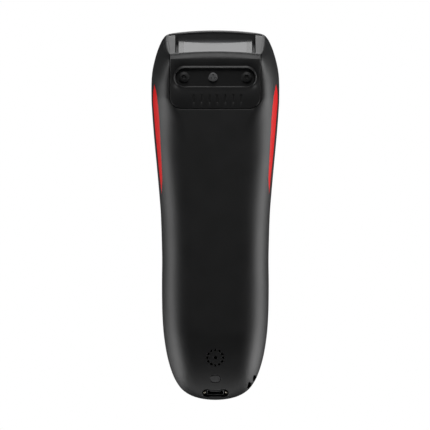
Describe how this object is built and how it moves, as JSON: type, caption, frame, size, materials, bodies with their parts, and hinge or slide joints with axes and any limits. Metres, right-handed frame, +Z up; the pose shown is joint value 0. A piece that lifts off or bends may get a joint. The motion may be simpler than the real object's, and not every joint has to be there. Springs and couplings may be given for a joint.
{
  "type": "handheld barcode scanner",
  "caption": "Slim cordless handheld barcode scanner with a leaning scan window, thumb trigger, red side inserts and a tail charging port, lying on its flat underside.",
  "frame": {"origin": "under the middle of the body, on the surface that the flat underside rests on", "axes": "+Z up towards the trigger side, -Y towards the scan window, +Y towards the charging port"},
  "size_m": [0.0552, 0.16, 0.0293],
  "materials": {
    "housing_plastic": "fine spark-eroded matte",
    "cover_plastic": "fine matte, smoother on the front face",
    "window_plastic": "polished smoke-grey pane with a printed border",
    "frame_plastic": "matte",
    "accent_red": "satin moulded-in red",
    "trigger_plastic": "fine matte",
    "pin_steel": "ground",
    "bracket_plastic": "moulded",
    "switch_plastic": "moulded",
    "plated_steel": "bright plated",
    "black_steel": "black oxide",
    "nickel_steel": "dull nickel",
    "lens_clear": "frosted light pipe",
    "light_white": "moulded",
    "board_green": "solder mask",
    "engine_body": "black anodised",
    "lens_dark": "coated lens",
    "lens_red": "polished",
    "flex_amber": "polyimide film",
    "connector_cream": "moulded",
    "cell_blue": "shrink sleeve",
    "foam_grey": "closed-cell foam",
    "lead_insulation": "silicone insulation",
    "contact_gold": "gold plated",
    "plug_rubber": "soft matte"
  },
  "bodies": {
    "case": {"lower_housing": "housing_plastic", "upper_housing": "housing_plastic", "nose_cover": "cover_plastic", "scan_window": "window_plastic", "window_frame": "frame_plastic", "side_insert_left": "accent_red", "side_insert_right": "accent_red", "trigger_pin": "pin_steel", "trigger_bracket": "bracket_plastic", "switch_body": "switch_plastic", "switch_dome": "plated_steel", "status_lens": "lens_clear", "status_light": "light_white", "main_board": "board_green", "radio_module": "plated_steel", "processor": "switch_plastic", "board_screws": "plated_steel", "scan_engine": "engine_body", "engine_lens": "lens_dark", "aiming_light": "lens_red", "illumination_lights": "light_white", "engine_mount": "bracket_plastic", "engine_mount_screws": "plated_steel", "engine_cable": "flex_amber", "engine_connector": "connector_cream", "battery_cell": "cell_blue", "battery_pad": "foam_grey", "battery_leads": "lead_insulation", "battery_connector": "connector_cream", "tail_board": "board_green", "tail_cable": "flex_amber", "charging_port": "plated_steel", "charging_contacts": "contact_gold", "buzzer": "switch_plastic", "buzzer_gasket": "foam_grey", "nose_screws": "black_steel", "security_screw": "nickel_steel", "tail_screw": "plated_steel", "screw_plug": "plug_rubber"},
    "trigger_key": {"trigger": "trigger_plastic"},
    "plunger": {"switch_plunger": "switch_plastic"}
  },
  "joints": [
    {"name": "trigger_press", "type": "hinge", "parent": "case", "child": "trigger_key", "pos_m": [0, -0.05, 0.0225], "axis": [-1, 0, 0], "range_deg": [0, 1.6], "stiffness_Nm_per_rad": 0.9, "springref_deg": -0.57},
    {"name": "plunger_press", "type": "slide", "parent": "case", "child": "plunger", "axis": [0, 0, -1], "range_m": [0, 0.00036], "deforming": ["switch_dome"]}
  ],
  "couplings": [
    {"joint": "plunger_press", "follows": "trigger_press", "m_per_rad": 0.012}
  ]
}
